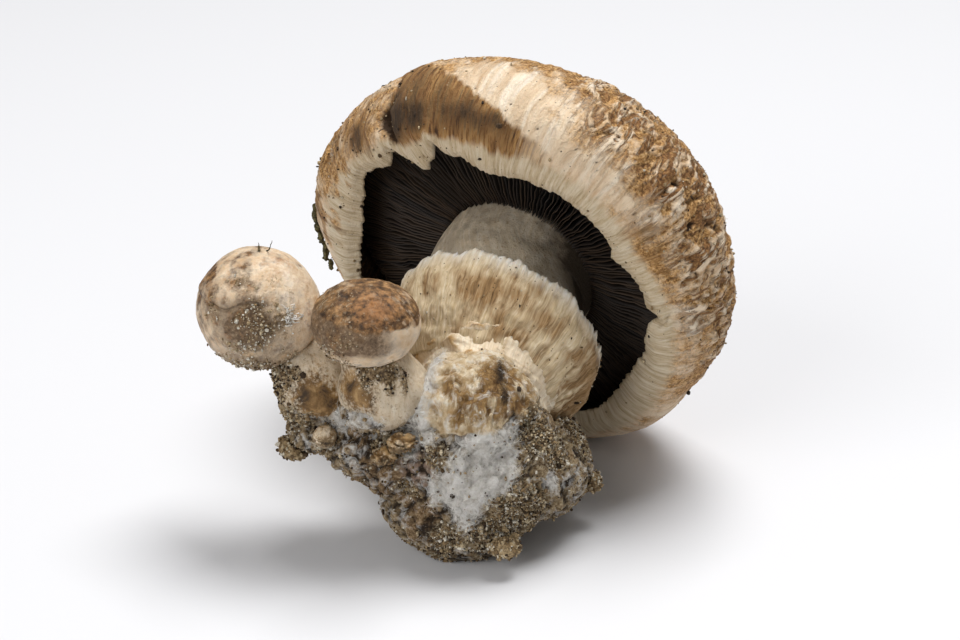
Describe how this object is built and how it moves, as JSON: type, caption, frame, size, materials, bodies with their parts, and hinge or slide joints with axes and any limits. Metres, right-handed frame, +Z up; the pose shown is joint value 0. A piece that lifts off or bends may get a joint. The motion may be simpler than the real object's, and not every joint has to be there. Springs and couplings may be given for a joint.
{
  "type": "button mushroom",
  "caption": "Open-capped button mushroom grown in one cluster with young mushrooms, picked with its clump of mycelium and soil, lying on its clump and the cap's rim.",
  "frame": {"origin": "middle of the footprint's bounding box, on the surface that the cluster lies on", "axes": "+Z up; +X to the viewer's right, across the young mushrooms and the cap; +Y away from the viewer, towards the crown of the cap"},
  "size_m": [0.1172, 0.1044, 0.0982],
  "materials": {
    "cap_skin": "dry fibrous skin, cream with brown scales",
    "gill_flesh": "thin dark spore-coloured blades",
    "stem_flesh": "smooth matt flesh, stained brown",
    "veil": "soft fibrous skirt",
    "mycelium_and_soil": "white threads over dark casing soil",
    "young_cap_skin": "smooth skin, browned on top",
    "young_stem_flesh": "matt flesh with soil",
    "pinhead_skin": "dried and browned",
    "casing_soil": "crumbly peat",
    "bark": "dry olive-brown bark"
  },
  "bodies": {
    "root": {"cap": "cap_skin", "gills": "gill_flesh", "stem": "stem_flesh", "ring": "veil", "mycelium_clump": "mycelium_and_soil", "young_left_cap": "young_cap_skin", "young_left_stem": "young_stem_flesh", "young_right_cap": "young_cap_skin", "young_right_stem": "young_stem_flesh", "pinhead_left": "pinhead_skin", "pinhead_dried_upper": "pinhead_skin", "pinhead_dried_lower": "pinhead_skin", "soil_crumb_left": "casing_soil", "soil_crumb_right": "casing_soil", "soil_crumb_front": "casing_soil", "bark_flake_upper": "bark", "bark_flake_lower": "bark"}
  },
  "joints": []
}
